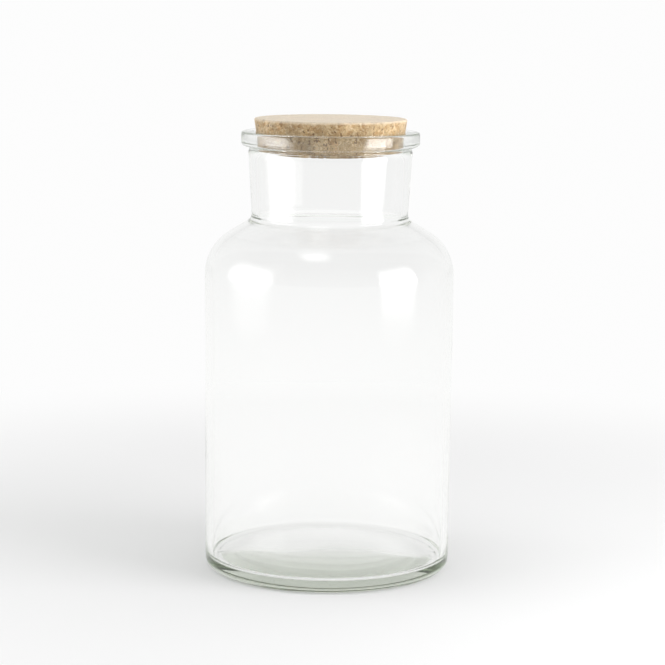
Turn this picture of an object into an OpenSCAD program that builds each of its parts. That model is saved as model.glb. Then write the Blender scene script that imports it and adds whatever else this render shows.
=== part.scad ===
// Glass jar with a tapered cork lid, in millimetres.
// The jar stands on z = 0 and its axis is the z axis.
// Both pieces are turned shapes: each is an outline of [radius, height] points spun round the axis.

/* [Jar body] */
// Height of the jar, from the table to the top of its lip
jar_h = 248.8; // [200:0.1:320]
// Outside diameter of the body where the shoulder begins
body_d = 141; // [126:0.5:180]
// Outside diameter of the body just above the heel
foot_d = 140; // [124:0.5:180]
// Thickness of the glass in the body and the shoulder
wall = 3.8; // [2:0.1:8]

/* [Heel and floor] */
// Radius of the rounded edge between the base and the body
heel_r = 5; // [3:0.1:12]
// Width of the flat ring that the jar stands on
ring_w = 10; // [2:0.5:30]
// Depth of the shallow hollow under the base, in the middle
hollow_h = 1.6; // [0.5:0.1:6]
// Thickness of the glass floor at its edge
floor_t = 6.6; // [4:0.1:12]
// How far the floor inside rises from its edge to its middle
floor_rise = 6.2; // [1:0.1:12]
// Radius of the rounded edge between the floor and the wall inside
inner_heel_r = 3; // [1:0.1:14]

/* [Shoulder] */
// Radius of the round at the top of the body
shoulder_r = 27.4; // [12:0.1:40]
// Slope of the shoulder above the horizontal, in degrees
shoulder_slope = 31.5; // [15:0.5:50]
// Radius of the hollow where the shoulder turns up into the neck
neck_fillet = 5; // [2:0.1:10]

/* [Neck and lip] */
// Diameter of the mouth at the top of the lip
mouth_d = 84; // [70:0.5:94]
// Taper of the bore, in degrees, narrower towards the shoulder
bore_draft = 1.8; // [0:0.1:4]
// Height of the neck, from the shoulder to the top of the lip
neck_h = 48.9; // [30:0.1:70]
// Thickness of the glass at the foot of the neck
neck_wall = 3.7; // [2:0.1:6]
// Radius of the rounded corner inside the foot of the neck
inner_fillet_r = 4.5; // [2:0.1:10]
// How much further out the neck stands under the lip than at its foot
neck_flare = 2; // [0:0.1:5]
// Height of the lip, from the groove under it to its top
lip_h = 9.9; // [7:0.1:14]
// How far the lip stands out past the neck
lip_reach = 4.05; // [3:0.05:8]
// Slope of the underside of the lip, in degrees
lip_slope = 18; // [0:1:30]
// Radius of the groove under the lip
groove_r = 1.3; // [0.8:0.1:2]
// Depth of that groove
groove_depth = 0.4; // [0:0.05:0.7]
// Radius of the lower edge of the lip
lip_lower_r = 2; // [0.5:0.1:2.5]
// Radius of the upper edge of the lip
lip_upper_r = 1.3; // [0.5:0.1:2.5]
// Radius of the edge round the mouth
mouth_edge_r = 1.2; // [0.5:0.1:2]

/* [Cork] */
// Height of the cork
cork_h = 20.4; // [16:0.1:28]
// How much of the cork stands above the lip
cork_proud = 7.4; // [4:0.1:12]
// Slope of the cork's side from the vertical, in degrees
cork_taper = 8.5; // [5:0.5:12]
// Radius of the worn edges of the cork
cork_edge_r = 0.6; // [0.2:0.1:2]
// Gap between the cork and the edge of the mouth that it rests on
seat_gap = 0.15; // [0.05:0.05:0.5]

/* [Hidden] */

// Facets round the axis, and straight steps along a long round and a small one
turn_facets = 180;
long_steps = 16;
short_steps = 6;

body_r = body_d / 2;
foot_r = foot_d / 2;
mouth_r = mouth_d / 2;

// The outside of the neck would meet the slope of the shoulder in a corner at this height.
// The fillet takes the corner away, and the neck's straight side starts at neck_foot_z.
neck_corner_z = jar_h - neck_h;
neck_foot_z = neck_corner_z + neck_fillet * (1 - sin(shoulder_slope)) / cos(shoulder_slope);
bore_foot_r = mouth_r - (jar_h - neck_foot_z) * tan(bore_draft);
neck_foot_r = bore_foot_r + neck_wall;
neck_top_r = neck_foot_r + neck_flare;

// The body's straight side ends where the shoulder's round and slope just reach the neck
shoulder_run = body_r - shoulder_r * (1 - sin(shoulder_slope)) - neck_foot_r;
body_top_z = neck_corner_z - shoulder_run * tan(shoulder_slope) - shoulder_r * cos(shoulder_slope);
shoulder_centre = [body_r - shoulder_r, body_top_z];
fillet_centre = [neck_foot_r + neck_fillet, neck_foot_z];

// Inside, a round joins the bore to the inside of the slope, and the glass is thicker at this corner
slope_normal = [sin(shoulder_slope), cos(shoulder_slope)];
inner_slope_level = shoulder_centre * slope_normal + shoulder_r - wall;
inner_fillet_centre_r = bore_foot_r + inner_fillet_r;
inner_fillet_centre = [
    inner_fillet_centre_r,
    (inner_slope_level + inner_fillet_r - slope_normal[0] * inner_fillet_centre_r) / slope_normal[1]
];

lip_r = neck_top_r + lip_reach;
groove_centre = [neck_top_r - groove_depth + groove_r, jar_h - lip_h];
groove_start = 180 + acos(1 - groove_depth / groove_r);
lip_inner_end = groove_centre + groove_r * [-sin(lip_slope), cos(lip_slope)];
lip_lower_run = lip_r - lip_lower_r * (1 - sin(lip_slope)) - lip_inner_end[0];
lip_lower_z = lip_inner_end[1] + lip_lower_run * tan(lip_slope) + lip_lower_r * cos(lip_slope);

// The cork's side touches the mouth's rounded edge on this circle, less the gap
seat_z = jar_h - mouth_edge_r * (1 - sin(cork_taper));
seat_r = mouth_r + mouth_edge_r * (1 - cos(cork_taper)) - seat_gap / cos(cork_taper);
cork_top_z = jar_h + cork_proud;
cork_bottom_z = cork_top_z - cork_h;

// Centre of the round on an edge of the cork, at a height: the round touches the tapered side
function cork_edge_centre(z) =
    [seat_r + (z - seat_z) * tan(cork_taper) - cork_edge_r / cos(cork_taper), z];

// Points of a round about a centre, from one angle to another
function round_points(centre, r, from, to, steps) =
    [for (i = [0 : steps]) let (a = from + (to - from) * i / steps) centre + r * [cos(a), sin(a)]];

// Points of a shallow dome from its edge up to its top on the axis
function dome_points(edge_r, edge_z, rise) =
    let (
        r = (edge_r * edge_r + rise * rise) / (2 * rise),
        edge_angle = acos(edge_r / r)
    )
    round_points([0, edge_z + rise - r], r, edge_angle, 90, long_steps);

// The same points in the other order
function reversed(points) = [for (i = [len(points) - 1 : -1 : 0]) points[i]];

// Outside of the jar, from the middle of the base up to the edge of the lip
function outside_points() = concat(
    reversed(dome_points(foot_r - heel_r - ring_w, 0, hollow_h)),
    round_points([foot_r - heel_r, heel_r], heel_r, -90, 0, short_steps),
    round_points(shoulder_centre, shoulder_r, 0, 90 - shoulder_slope, long_steps),
    round_points(fillet_centre, neck_fillet, 270 - shoulder_slope, 180, short_steps),
    round_points(groove_centre, groove_r, groove_start, 90 + lip_slope, short_steps),
    round_points([lip_r - lip_lower_r, lip_lower_z], lip_lower_r, lip_slope - 90, 0, short_steps),
    round_points([lip_r - lip_upper_r, jar_h - lip_upper_r], lip_upper_r, 0, 90, short_steps)
);

// Inside of the jar, from the edge of the mouth down to the middle of the floor
function inside_points() = concat(
    round_points([mouth_r + mouth_edge_r, jar_h - mouth_edge_r], mouth_edge_r, 90, 180, short_steps),
    round_points(inner_fillet_centre, inner_fillet_r, 180, 270 - shoulder_slope, short_steps),
    round_points(shoulder_centre, shoulder_r - wall, 90 - shoulder_slope, 0, long_steps),
    round_points(
        [foot_r - wall - inner_heel_r, floor_t + inner_heel_r], inner_heel_r, 0, -90, short_steps
    ),
    dome_points(foot_r - wall - inner_heel_r, floor_t, floor_rise)
);

// Thick moulded glass: base, body, shoulder, neck and lip are one piece
module glass_jar() {
    color([0.84, 0.9, 0.87, 0.45])
        rotate_extrude($fn = turn_facets)
            polygon(concat(outside_points(), inside_points()));
}

// Tapered plug pressed from cork granules
module cork_stopper() {
    bottom_centre = cork_edge_centre(cork_bottom_z + cork_edge_r);
    top_centre = cork_edge_centre(cork_top_z - cork_edge_r);
    color([0.8, 0.66, 0.5])
        rotate_extrude($fn = turn_facets)
            polygon(concat(
                [[0, cork_bottom_z]],
                round_points(bottom_centre, cork_edge_r, -90, -cork_taper, short_steps),
                round_points(top_centre, cork_edge_r, -cork_taper, 90, short_steps),
                [[0, cork_top_z]]
            ));
}

glass_jar();
cork_stopper();
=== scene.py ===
import math

import bmesh
import bpy
from mathutils import Matrix, Vector, noise


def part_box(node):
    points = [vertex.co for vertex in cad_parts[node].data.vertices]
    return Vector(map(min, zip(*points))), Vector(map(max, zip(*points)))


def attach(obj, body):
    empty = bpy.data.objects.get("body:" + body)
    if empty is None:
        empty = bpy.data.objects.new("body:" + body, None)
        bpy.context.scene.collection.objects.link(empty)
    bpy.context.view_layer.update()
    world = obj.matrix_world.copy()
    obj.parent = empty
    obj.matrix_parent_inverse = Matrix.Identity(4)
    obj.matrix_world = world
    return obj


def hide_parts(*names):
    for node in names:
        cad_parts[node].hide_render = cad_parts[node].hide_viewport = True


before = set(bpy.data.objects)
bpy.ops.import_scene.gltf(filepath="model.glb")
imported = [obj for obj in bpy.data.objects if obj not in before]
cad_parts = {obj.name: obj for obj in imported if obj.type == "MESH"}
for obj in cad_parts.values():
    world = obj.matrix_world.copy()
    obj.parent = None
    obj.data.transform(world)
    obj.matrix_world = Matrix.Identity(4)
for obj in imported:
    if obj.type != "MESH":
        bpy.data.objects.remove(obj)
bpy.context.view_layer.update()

# Glass jar
# One piece of thick clear soda-lime glass, blown in a mould: base, body, shoulder, neck and lip.
# Its wall is a little uneven, and where the glass is thick it shows a faint grey-green cast.

jar_low, jar_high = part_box("glass_jar")
jar_height = jar_high.z
body_radius = jar_high.x
foot_radius = body_radius - 0.0005
wall = 0.0038

heel_round = 0.005
ring_width = 0.01
hollow_height = 0.0016
floor_thickness = 0.0066
floor_rise = 0.0062
inner_heel_round = 0.003

shoulder_round = 0.0274
shoulder_slope = math.radians(31.5)
neck_fillet = 0.005

mouth_radius = 0.042
mouth_edge = 0.0012
bore_draft = math.radians(1.8)
neck_height = 0.0489
neck_wall = 0.0037
neck_flare = 0.002

lip_height = 0.0099
lip_reach = 0.00405
lip_slope = math.radians(18)
lip_lower_round = 0.002
lip_upper_round = 0.0013
groove_round = 0.0013
groove_depth = 0.0004

neck_corner_z = jar_height - neck_height
neck_foot_z = neck_corner_z + neck_fillet * (1 - math.sin(shoulder_slope)) / math.cos(shoulder_slope)
bore_foot_radius = mouth_radius - (jar_height - neck_foot_z) * math.tan(bore_draft)
neck_foot_radius = bore_foot_radius + neck_wall
neck_top_radius = neck_foot_radius + neck_flare
lip_radius = neck_top_radius + lip_reach

shoulder_run = body_radius - shoulder_round * (1 - math.sin(shoulder_slope)) - neck_foot_radius
body_top_z = (
    neck_corner_z - shoulder_run * math.tan(shoulder_slope) - shoulder_round * math.cos(shoulder_slope)
)
shoulder_centre = (body_radius - shoulder_round, body_top_z)
fillet_centre = (neck_foot_radius + neck_fillet, neck_foot_z)

groove_centre = (neck_top_radius - groove_depth + groove_round, jar_height - lip_height)
groove_start = math.pi + math.acos(1 - groove_depth / groove_round)
lip_inner_end = (
    groove_centre[0] - groove_round * math.sin(lip_slope),
    groove_centre[1] + groove_round * math.cos(lip_slope),
)
lip_lower_run = lip_radius - lip_lower_round * (1 - math.sin(lip_slope)) - lip_inner_end[0]
lip_lower_z = (
    lip_inner_end[1] + lip_lower_run * math.tan(lip_slope) + lip_lower_round * math.cos(lip_slope)
)


def arc(centre, radius, start, end, steps):
    """Points of a round in the plane of the outline, as (radius, height)."""
    turns = [start + (end - start) * i / steps for i in range(steps + 1)]
    return [(centre[0] + radius * math.cos(t), centre[1] + radius * math.sin(t)) for t in turns]


def dome(edge_radius, edge_z, rise, steps):
    """Points of a shallow dome, from its edge up to its top on the axis."""
    radius = (edge_radius ** 2 + rise ** 2) / (2 * rise)
    start = math.acos(edge_radius / radius)
    return arc((0, edge_z + rise - radius), radius, start, math.pi / 2, steps)


quarter = math.pi / 2
inner_fillet_round = 0.0045
slope_wall = wall


def inner_fillet():
    """Round inside the foot of the neck, tangent to the bore and to the inside of the shoulder."""
    normal = (math.sin(shoulder_slope), math.cos(shoulder_slope))
    level = sum(a * b for a, b in zip(shoulder_centre, normal)) + shoulder_round - slope_wall
    reach = level + inner_fillet_round
    r = bore_foot_radius + inner_fillet_round
    z = (reach - normal[0] * r) / normal[1]
    return arc((r, z), inner_fillet_round, math.pi, 3 * quarter - shoulder_slope, 14)


jar_outline = (
    dome(foot_radius - heel_round - ring_width, 0, hollow_height, 24)[::-1]
    + arc((foot_radius - heel_round, heel_round), heel_round, -quarter, 0, 14)
    + arc(shoulder_centre, shoulder_round, 0, quarter - shoulder_slope, 24)
    + arc(fillet_centre, neck_fillet, 3 * quarter - shoulder_slope, math.pi, 12)
    + arc(groove_centre, groove_round, groove_start, quarter + lip_slope, 12)
    + arc((lip_radius - lip_lower_round, lip_lower_z), lip_lower_round, lip_slope - quarter, 0, 10)
    + arc((lip_radius - lip_upper_round, jar_height - lip_upper_round), lip_upper_round, 0, quarter, 10)
    + arc((mouth_radius + mouth_edge, jar_height - mouth_edge), mouth_edge, quarter, math.pi, 10)
    + inner_fillet()
    + arc(shoulder_centre, shoulder_round - wall, quarter - shoulder_slope, 0, 24)
    + arc(
        (foot_radius - wall - inner_heel_round, floor_thickness + inner_heel_round),
        inner_heel_round, 0, -quarter, 14,
    )
    + dome(foot_radius - wall - inner_heel_round, floor_thickness, floor_rise, 24)
)


def turned(name, outline, longest, steps):
    """A solid of revolution: the outline's long edges are cut up, and it is spun round the z axis.

    The spin makes an eighth, which is copied round three times, because a long spin is slow.
    """
    shape = bmesh.new()
    points = [shape.verts.new((r, 0, z)) for r, z in outline]
    for a, b in zip(points, points[1:]):
        shape.edges.new((a, b))
    for edge in list(shape.edges):
        cuts = int(edge.calc_length() / longest)
        if cuts:
            bmesh.ops.subdivide_edges(shape, edges=[edge], cuts=cuts)
    eighth = math.pi / 4
    bmesh.ops.spin(
        shape, geom=shape.verts[:] + shape.edges[:], cent=(0, 0, 0), axis=(0, 0, 1),
        angle=eighth, steps=steps // 8,
    )
    for turn in (eighth, 2 * eighth, 4 * eighth):
        copy = bmesh.ops.duplicate(shape, geom=shape.verts[:] + shape.edges[:] + shape.faces[:])
        bmesh.ops.rotate(
            shape, cent=(0, 0, 0), matrix=Matrix.Rotation(turn, 3, "Z"),
            verts=[part for part in copy["geom"] if isinstance(part, bmesh.types.BMVert)],
        )
    bmesh.ops.remove_doubles(shape, verts=shape.verts[:], dist=1e-6)
    bmesh.ops.recalc_face_normals(shape, faces=shape.faces[:])
    for face in shape.faces:
        face.smooth = True
    mesh = bpy.data.meshes.new(name)
    shape.to_mesh(mesh)
    shape.free()
    piece = bpy.data.objects.new(name, mesh)
    bpy.context.scene.collection.objects.link(piece)
    return piece


class Wire:
    """An output of a material's node. Arithmetic on it adds Math nodes, and node() adds any other."""

    def __init__(self, tree, output=None):
        self.tree = tree
        self.output = output

    def node(self, kind, settings=None, inputs=None, give=0):
        made = self.tree.nodes.new(kind)
        for name, value in (settings or {}).items():
            if name == "stops":
                while len(made.color_ramp.elements) < len(value):
                    made.color_ramp.elements.new(1)
                for element, (place, colour) in zip(made.color_ramp.elements, value):
                    element.position = place
                    element.color = colour
            else:
                setattr(made, name, value)
        for name, value in (inputs or {}).items():
            if isinstance(value, Wire):
                self.tree.links.new(value.output, made.inputs[name])
            else:
                made.inputs[name].default_value = value
        return Wire(self.tree, made.outputs[give] if len(made.outputs) else None)

    def maths(self, operation, *values):
        return self.node("ShaderNodeMath", {"operation": operation}, dict(enumerate(values)))

    def __add__(self, other):
        return self.maths("ADD", self, other)

    def __mul__(self, other):
        return self.maths("MULTIPLY", self, other)

    def __sub__(self, other):
        return self.maths("SUBTRACT", self, other)

    def __rsub__(self, other):
        return self.maths("SUBTRACT", other, self)

    __radd__ = __add__
    __rmul__ = __mul__

    def blend(self, first, second):
        """The first colour where this mask is 0, and the second where it is 1."""
        return self.node("ShaderNodeMix", {"data_type": "RGBA"}, {0: self, 6: first, 7: second}, give=2)


def new_finish(name):
    """A material with an empty node tree, as a wire to start from."""
    finish = bpy.data.materials.new(name)
    finish.use_nodes = True
    finish.node_tree.nodes.clear()
    return finish, Wire(finish.node_tree)


jar = turned("moulded_jar", jar_outline, 0.004, 256)
for point in jar.data.vertices:
    out = Vector((point.co.x, point.co.y, 0))
    if out.length > 0.03:
        drift = noise.noise(point.co * 28) * 0.00012 + noise.noise(point.co * 70) * 0.00004
        point.co += out.normalized() * drift
    if out.length < foot_radius - wall - inner_heel_round and 0.003 < point.co.z < 0.02:
        point.co.z += noise.noise(point.co * 22 + Vector((3.1, 0, 0))) * 0.0006

# A shadow is only a little darker than the light round it, and light that is trapped between the
# faces of the glass for many turns gets out in the end
glass, start = new_finish("clear_glass")
glass_body = start.node("ShaderNodeBsdfPrincipled", inputs={
    "Base Color": (1, 1, 1, 1), "Roughness": 0.0, "IOR": 1.52, "Transmission Weight": 1.0,
})
shadow_ray = start.node("ShaderNodeLightPath", give="Is Shadow Ray")
turns = start.node("ShaderNodeLightPath", give="Ray Depth")
trapped = turns.maths("GREATER_THAN", turns, 20)
leaves = shadow_ray.maths("MAXIMUM", shadow_ray, trapped)
lets_light = start.node("ShaderNodeBsdfTransparent", inputs={"Color": (0.77, 0.78, 0.77, 1)})
glass_surface = start.node("ShaderNodeMixShader", inputs={0: leaves, 1: glass_body, 2: lets_light})
green_cast = start.node("ShaderNodeVolumeAbsorption", inputs={
    "Color": (0.78, 0.81, 0.75, 1), "Density": 15.0,
})
start.node("ShaderNodeOutputMaterial", inputs={"Surface": glass_surface, "Volume": green_cast})
jar.data.materials.append(glass)

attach(jar, "jar")
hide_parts("glass_jar")

# Cork
# A tapered plug pressed from cork granules, with darker bark specks and small pits.
# It sits in the mouth by friction, and lifts straight out.

cork_low, cork_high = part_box("cork_stopper")
cork_top_z = cork_high.z
cork_bottom_z = cork_low.z
cork_taper = math.radians(8.5)
cork_edge = 0.0009
cork_top_radius = cork_high.x + cork_edge * (1 - math.cos(cork_taper))
cork_bottom_radius = cork_top_radius - (cork_top_z - cork_bottom_z) * math.tan(cork_taper)


def cork_edge_centre(z):
    """Centre of the round on one edge of the cork, tangent to its tapered side."""
    side = cork_top_radius - (cork_top_z - z) * math.tan(cork_taper)
    return (side - cork_edge / math.cos(cork_taper), z)


cork_outline = (
    [(0, cork_bottom_z)]
    + arc(cork_edge_centre(cork_bottom_z + cork_edge), cork_edge, -quarter, -cork_taper, 4)
    + arc(cork_edge_centre(cork_top_z - cork_edge), cork_edge, -cork_taper, quarter, 4)
    + [(0, cork_top_z)]
)
cork = turned("pressed_cork", cork_outline, 0.0007, 512)

# Bark pores break open at the surface as pits, grains stand proud by a hair, and the rims are chipped
pore_size = 0.0034
pore_depth = 0.0004
grain_size = 0.0019
grain_relief = 0.00005
pit_mask = cork.data.attributes.new("pit", "FLOAT", "POINT")
cork_middle = (cork_top_z + cork_bottom_z) / 2
half_height = (cork_top_z - cork_bottom_z) / 2
for point in cork.data.vertices:
    place = point.co.copy()
    out = Vector((place.x, place.y, 0))
    side_radius = cork_top_radius - (cork_top_z - place.z) * math.tan(cork_taper)
    to_side = side_radius - out.length
    to_face = half_height - abs(place.z - cork_middle)
    inward = -out.normalized() if to_side < to_face else Vector((0, 0, -1 if place.z > cork_middle else 1))
    wobble = Vector([noise.noise(place * 900 + Vector((k * 37.0, 0, 0))) for k in range(3)]) * 0.0005
    distances, centres = noise.voronoi((place + wobble) / pore_size)
    lot = noise.cell(centres[0] * 31.7)
    opening = 0.08 + 0.13 * abs(noise.noise(centres[0] * 11.3))
    pit = max(0.0, 1 - distances[0] / opening) if lot > 0.5 else 0.0
    pit = min(1.0, pit * 2)
    grain, _ = noise.voronoi((place + wobble) / grain_size)
    relief = grain_relief * min(1.0, (grain[1] - grain[0]) * 4)
    rim = max(0.0, 1 - math.hypot(to_side, to_face) / 0.0016)
    chip = rim * max(0.0, noise.noise(place * 420) - 0.2) * 0.0016
    depth = pit * pore_depth + grain_relief - relief
    point.co += inward * depth
    point.co += (-out.normalized() + Vector((0, 0, -1 if place.z > cork_middle else 1))) * chip
    pit_mask.data[point.index].value = pit

cork_finish, start = new_finish("pressed_cork")
place = start.node("ShaderNodeTexCoord", give="Object")
bend = start.node("ShaderNodeTexNoise", inputs={"Vector": place, "Scale": 700, "Detail": 2}, give="Color")
bend = start.node("ShaderNodeVectorMath", {"operation": "SUBTRACT"}, {0: bend, 1: (0.5, 0.5, 0.5)})
bend = start.node("ShaderNodeVectorMath", {"operation": "SCALE"}, {0: bend, "Scale": 0.0016})
bent = start.node("ShaderNodeVectorMath", {"operation": "ADD"}, {0: place, 1: bend})


def grains(size):
    """Random lots of the cork grains of a size, and how deep inside its grain each point is."""
    cells = {"Vector": bent, "Scale": 1 / size}
    lots = start.node("ShaderNodeTexVoronoi", inputs=cells, give="Color")
    lots = start.node("ShaderNodeSeparateColor", inputs={"Color": lots}, give="Red")
    edge = start.node("ShaderNodeTexVoronoi", {"feature": "DISTANCE_TO_EDGE"}, cells, give="Distance")
    return lots, edge


coarse, coarse_edge = grains(0.0023)
fine, fine_edge = grains(0.0011)
which = start.node("ShaderNodeTexNoise", inputs={"Vector": place, "Scale": 260, "Detail": 1}, give="Fac")
crumbs = start.node("ShaderNodeMapRange", inputs={"Value": which, "From Min": 0.46, "From Max": 0.5})
tone = coarse * (1 - crumbs) + fine * crumbs
grain_colour = start.node("ShaderNodeValToRGB", {"stops": [
    (0.0, (0.33, 0.20, 0.09, 1)),
    (0.06, (0.43, 0.275, 0.13, 1)),
    (0.2, (0.49, 0.335, 0.17, 1)),
    (0.5, (0.555, 0.40, 0.22, 1)),
    (0.8, (0.62, 0.47, 0.28, 1)),
    (1.0, (0.70, 0.56, 0.37, 1)),
]}, {"Fac": tone})
rusty = start.node("ShaderNodeTexNoise", inputs={"Vector": place, "Scale": 330, "Detail": 2}, give="Fac")
rusty = start.node("ShaderNodeMapRange", inputs={
    "Value": rusty, "From Min": 0.58, "From Max": 0.7, "To Min": 0.0, "To Max": 0.4,
})
cork_colour = rusty.blend(grain_colour, (0.56, 0.31, 0.12, 1))
cells = start.node("ShaderNodeTexNoise", inputs={"Vector": place, "Scale": 2600, "Detail": 3}, give="Fac")
speckle = start.node("ShaderNodeMapRange", inputs={
    "Value": cells, "From Min": 0.35, "From Max": 0.65, "To Min": 0.80, "To Max": 1.14,
})
patches = start.node("ShaderNodeTexNoise", inputs={"Vector": place, "Scale": 150, "Detail": 1}, give="Fac")
patches = start.node("ShaderNodeMapRange", inputs={
    "Value": patches, "From Min": 0.35, "From Max": 0.65, "To Min": 0.82, "To Max": 1.1,
})
shade = speckle * patches
cork_colour = start.node("ShaderNodeVectorMath", {"operation": "SCALE"}, {0: cork_colour, "Scale": shade})
bark = start.node("ShaderNodeTexNoise", inputs={"Vector": bent, "Scale": 620, "Detail": 2}, give="Fac")
bark = start.node("ShaderNodeMapRange", inputs={"Value": bark, "From Min": 0.615, "From Max": 0.665})
pits = start.node("ShaderNodeAttribute", {"attribute_name": "pit"}, give="Fac")
dark = bark.maths("MAXIMUM", bark, pits)
cork_colour = (dark * 0.82).blend(cork_colour, (0.12, 0.06, 0.028, 1))
binder = start.node("ShaderNodeMapRange", inputs={
    "Value": coarse_edge.maths("MINIMUM", coarse_edge, fine_edge + crumbs * -1 + 1),
    "From Min": 0.0, "From Max": 0.07, "To Min": 0.3, "To Max": 0.0,
})
cork_colour = binder.blend(cork_colour, (0.24, 0.13, 0.06, 1))
# The top face and its rim are painted a paler cream: a painted sheen, standing for the light the top catches at a
# grazing view.
height = start.node("ShaderNodeSeparateXYZ", inputs={"Vector": place}, give="Z")
painted_top_sheen = start.node("ShaderNodeMapRange", inputs={
    "Value": height, "From Min": cork_top_z - 0.0016, "From Max": cork_top_z - 0.0004,
    "To Min": 0.0, "To Max": 0.55,
})
cork_colour = painted_top_sheen.blend(cork_colour, (0.87, 0.77, 0.62, 1))
grit = coarse_edge.maths("MINIMUM", coarse_edge * 2, 0.4) + cells * 0.5 - dark * 0.6
relief = start.node("ShaderNodeBump", inputs={"Height": grit, "Strength": 0.35, "Distance": 0.0004})
cork_body = start.node("ShaderNodeBsdfPrincipled", inputs={
    "Base Color": cork_colour, "Roughness": 0.8, "Normal": relief, "Specular IOR Level": 0.4,
    "Sheen Weight": 0.35, "Sheen Roughness": 0.45, "Sheen Tint": (1, 0.95, 0.88, 1),
})
start.node("ShaderNodeOutputMaterial", inputs={"Surface": cork_body})
cork.data.materials.append(cork_finish)

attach(cork, "stopper")
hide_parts("cork_stopper")

# Table
# A wide pale table, which fades into the pale backdrop of the room far from the jar.

backdrop_colour = (0.98, 0.98, 0.98, 1)
table_mesh = bpy.data.meshes.new("table")
shape = bmesh.new()
bmesh.ops.create_circle(shape, cap_ends=True, segments=96, radius=6)
shape.to_mesh(table_mesh)
shape.free()
table = bpy.data.objects.new("table", table_mesh)
table.location.z = -0.0002
bpy.context.scene.collection.objects.link(table)
table_finish, start = new_finish("pale_table")
place = start.node("ShaderNodeTexCoord", give="Object")
distance = start.node("ShaderNodeVectorMath", {"operation": "LENGTH"}, {0: place}, give="Value")
fade = start.node("ShaderNodeMapRange", {"interpolation_type": "SMOOTHSTEP"}, {
    "Value": distance, "From Min": 0.12, "From Max": 0.6, "To Min": 0.0, "To Max": 1.0,
})
paper = start.node("ShaderNodeBsdfDiffuse", inputs={"Color": (0.9, 0.9, 0.9, 1)})
direct = start.node("ShaderNodeLightPath", give="Is Camera Ray")
refracted = start.node("ShaderNodeLightPath", give="Is Transmission Ray")
through_level = start.node("ShaderNodeMapRange", {"interpolation_type": "SMOOTHSTEP"}, {
    "Value": distance, "From Min": 0.3, "From Max": 2.0, "To Min": 1.0, "To Max": 0.92,
})
through_colour = start.node("ShaderNodeCombineXYZ", inputs={0: through_level, 1: through_level, 2: through_level})
far_colour = direct.blend(through_colour, backdrop_colour)
far_white = start.node("ShaderNodeEmission", inputs={"Color": far_colour})
# Seen through the glass, the table shows as glowing white, dimmed in a soft ring round the foot of the jar: a
# painted contact shadow.
from_ring = distance.maths("ABSOLUTE", distance - 0.062)
painted_ring_shadow = start.node("ShaderNodeMapRange", {"interpolation_type": "SMOOTHSTEP"}, {
    "Value": from_ring, "From Min": 0.006, "From Max": 0.022, "To Min": 0.6, "To Max": 0.9,
})
shown_white = fade.maths("MAXIMUM", fade, refracted * painted_ring_shadow)
table_top = start.node("ShaderNodeMixShader", inputs={0: shown_white, 1: paper, 2: far_white})
start.node("ShaderNodeOutputMaterial", inputs={"Surface": table_top})
table.data.materials.append(table_finish)

# Light
# A pale room, brighter behind the jar, with a soft box overhead and two tall ones at the sides.
# Light goes on through the thick glass of the base for many bounces.

path = bpy.context.scene.cycles
path.max_bounces = 64
path.glossy_bounces = 48
path.transmission_bounces = 64

room = bpy.data.worlds.new("pale_room")
bpy.context.scene.world = room
room.use_nodes = True
room.node_tree.nodes.clear()
start = Wire(room.node_tree)
direction = start.node("ShaderNodeTexCoord", give="Generated")
to_back = start.node("ShaderNodeSeparateXYZ", inputs={"Vector": direction}, give="Y")
to_ceiling = start.node("ShaderNodeSeparateXYZ", inputs={"Vector": direction}, give="Z")
room_level = start.node("ShaderNodeMapRange", {"interpolation_type": "SMOOTHSTEP"}, {
    "Value": to_back, "From Min": -0.3, "From Max": 0.3, "To Min": 0.36, "To Max": 0.95,
})
ceiling = start.node("ShaderNodeMapRange", {"interpolation_type": "SMOOTHSTEP"}, {
    "Value": to_ceiling, "From Min": 0.4, "From Max": 0.9, "To Min": 0.0, "To Max": 1.0,
})
room_level = room_level * (1 - ceiling) + 0.5 * ceiling
haze = start.node("ShaderNodeMapRange", {"interpolation_type": "SMOOTHSTEP"}, {
    "Value": to_ceiling, "From Min": 0.02, "From Max": 0.45, "To Min": 0.95, "To Max": 0.76,
})
wall_level = haze * (1 - ceiling) + 0.65 * ceiling
room_light = start.node("ShaderNodeBackground", inputs={"Color": (1, 1, 1, 1), "Strength": room_level})
through_glass = start.node("ShaderNodeBackground", inputs={"Color": (1, 1, 1, 1), "Strength": wall_level})
backdrop = start.node("ShaderNodeBackground", inputs={"Color": backdrop_colour})
refracted = start.node("ShaderNodeLightPath", give="Is Transmission Ray")
direct = start.node("ShaderNodeLightPath", give="Is Camera Ray")
background = start.node("ShaderNodeMixShader", inputs={0: refracted, 1: room_light, 2: through_glass})
background = start.node("ShaderNodeMixShader", inputs={0: direct, 1: background, 2: backdrop})
start.node("ShaderNodeOutputWorld", inputs={"Surface": background})


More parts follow.
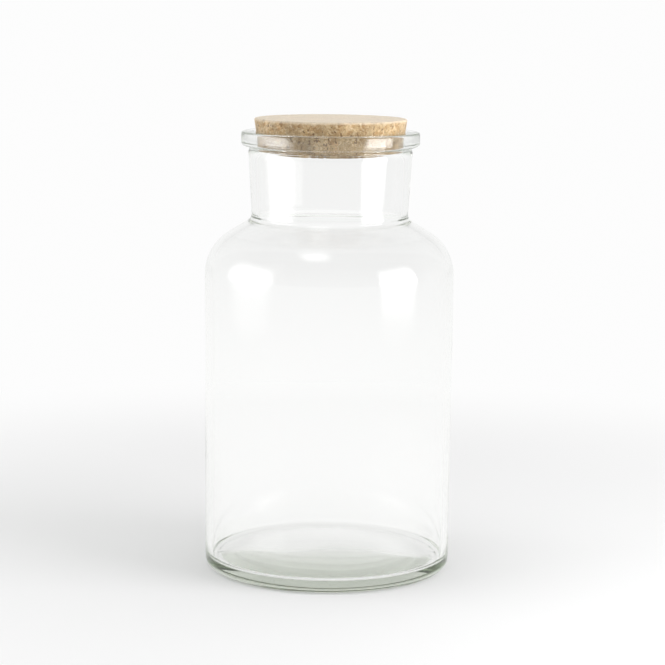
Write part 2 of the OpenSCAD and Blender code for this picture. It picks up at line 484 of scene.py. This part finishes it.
def soft_box(name, place, aim, width, tall, level, image, soft, grow):
    """A soft box of a plain radiance, and the bright image of it that glass mirrors.

    The image is a card that only a mirrored ray meets. It dims towards its left and right edges,
    over the two shares of its width in soft, and over the lowest share of its height, grow.
    """
    turn = (Vector(aim) - Vector(place)).to_track_quat("-Z", "Y")
    lamp = bpy.data.lights.new(name, "AREA")
    lamp.shape = "RECTANGLE"
    lamp.size = width
    lamp.size_y = tall
    lamp.energy = level * math.pi * width * tall
    box = bpy.data.objects.new(name, lamp)
    box.location = place
    box.rotation_euler = turn.to_euler()
    box.visible_camera = False
    box.visible_glossy = False
    box.visible_transmission = False
    bpy.context.scene.collection.objects.link(box)

    shape = bmesh.new()
    shape.loops.layers.uv.new("card")
    bmesh.ops.create_grid(shape, x_segments=1, y_segments=1, size=0.5, calc_uvs=True)
    bmesh.ops.scale(shape, vec=(width, tall, 1), verts=shape.verts[:])
    bmesh.ops.transform(shape, matrix=Matrix.Translation(place) @ turn.to_matrix().to_4x4(), verts=shape.verts[:])
    card_mesh = bpy.data.meshes.new(name + "_image")
    shape.to_mesh(card_mesh)
    shape.free()
    card = bpy.data.objects.new(name + "_image", card_mesh)
    card.visible_camera = False
    card.visible_diffuse = False
    card.visible_shadow = False
    bpy.context.scene.collection.objects.link(card)

    finish, start = new_finish(name + "_image")
    finish.cycles.emission_sampling = "NONE"
    spot = start.node("ShaderNodeTexCoord", give="UV")
    across = start.node("ShaderNodeSeparateXYZ", inputs={"Vector": spot}, give="X")
    up = start.node("ShaderNodeSeparateXYZ", inputs={"Vector": spot}, give="Y")
    from_left = start.node("ShaderNodeMapRange", {"interpolation_type": "SMOOTHSTEP"}, {
        "Value": across, "From Min": 0.0, "From Max": soft[0],
    })
    from_right = start.node("ShaderNodeMapRange", {"interpolation_type": "SMOOTHSTEP"}, {
        "Value": across, "From Min": 1.0, "From Max": 1 - soft[1],
    })
    rise = start.node("ShaderNodeMapRange", inputs={"Value": up, "From Min": 0.0, "From Max": grow})
    mirrored = start.node("ShaderNodeLightPath", give="Glossy Depth")
    mirrored = mirrored.maths("GREATER_THAN", mirrored, 0.5)
    scattered = start.node("ShaderNodeLightPath", give="Diffuse Depth")
    scattered = scattered.maths("GREATER_THAN", scattered, 0.5)
    clear = start.node("ShaderNodeBsdfTransparent")
    shine = start.node("ShaderNodeEmission", inputs={"Color": (1, 1, 1, 1), "Strength": image})
    rise = rise.maths("POWER", rise, 1.5)
    fall = start.node("ShaderNodeMapRange", inputs={"Value": up, "From Min": 1.0, "From Max": 0.35})
    through = start.node("ShaderNodeLightPath", give="Transmission Depth")
    far_wall = through.maths("GREATER_THAN", through, 2.5)
    seen = from_left * from_right * rise * fall * fall * mirrored * (1 - scattered) * (1 - 0.9 * far_wall)
    seen = start.node("ShaderNodeMixShader", inputs={0: seen, 1: clear, 2: shine})
    start.node("ShaderNodeOutputMaterial", inputs={"Surface": seen})
    card.data.materials.append(finish)


def beside(azimuth, distance, height):
    """A place at an azimuth from the camera's side of the jar, positive to the right."""
    turn = math.radians(azimuth)
    return (distance * math.sin(turn), -distance * math.cos(turn), height)


soft_box("left_box", beside(-78, 0.8, 0.38), (0, 0, 0.38), 0.9, 0.74, 1.7, 7.5, (0.4, 0.25), 0.25)
soft_box("right_box", beside(65, 0.8, 0.38), (0, 0, 0.38), 0.6, 0.74, 5.8, 10.0, (0.15, 0.12), 0.25)
soft_box("ceiling_box", (-0.28, -0.45, 1.7), (-0.28, -0.45, 0), 0.8, 1.3, 0.7, 4.5, (0.4, 0.4), 0.5)

# Camera
# Where the photograph was taken from, found by fitting the jar's outline.

camera = bpy.data.objects.new("camera", bpy.data.cameras.new("camera"))
camera.data.sensor_width = 36
camera.data.lens = 116.95
camera_distance = 1.2161
camera_height = 0.3241
camera_pitch = math.radians(8.86)
camera_yaw = math.radians(0.10)
camera_roll = math.radians(0.56)
camera.matrix_world = (
    Matrix.Translation((0, -camera_distance, camera_height))
    @ Matrix.Rotation(-camera_yaw, 4, "Z")
    @ Matrix.Rotation(math.pi / 2 - camera_pitch, 4, "X")
    @ Matrix.Rotation(camera_roll, 4, "Z")
)
bpy.context.scene.collection.objects.link(camera)
bpy.context.scene.camera = camera
bpy.context.scene.view_settings.view_transform = "Standard"
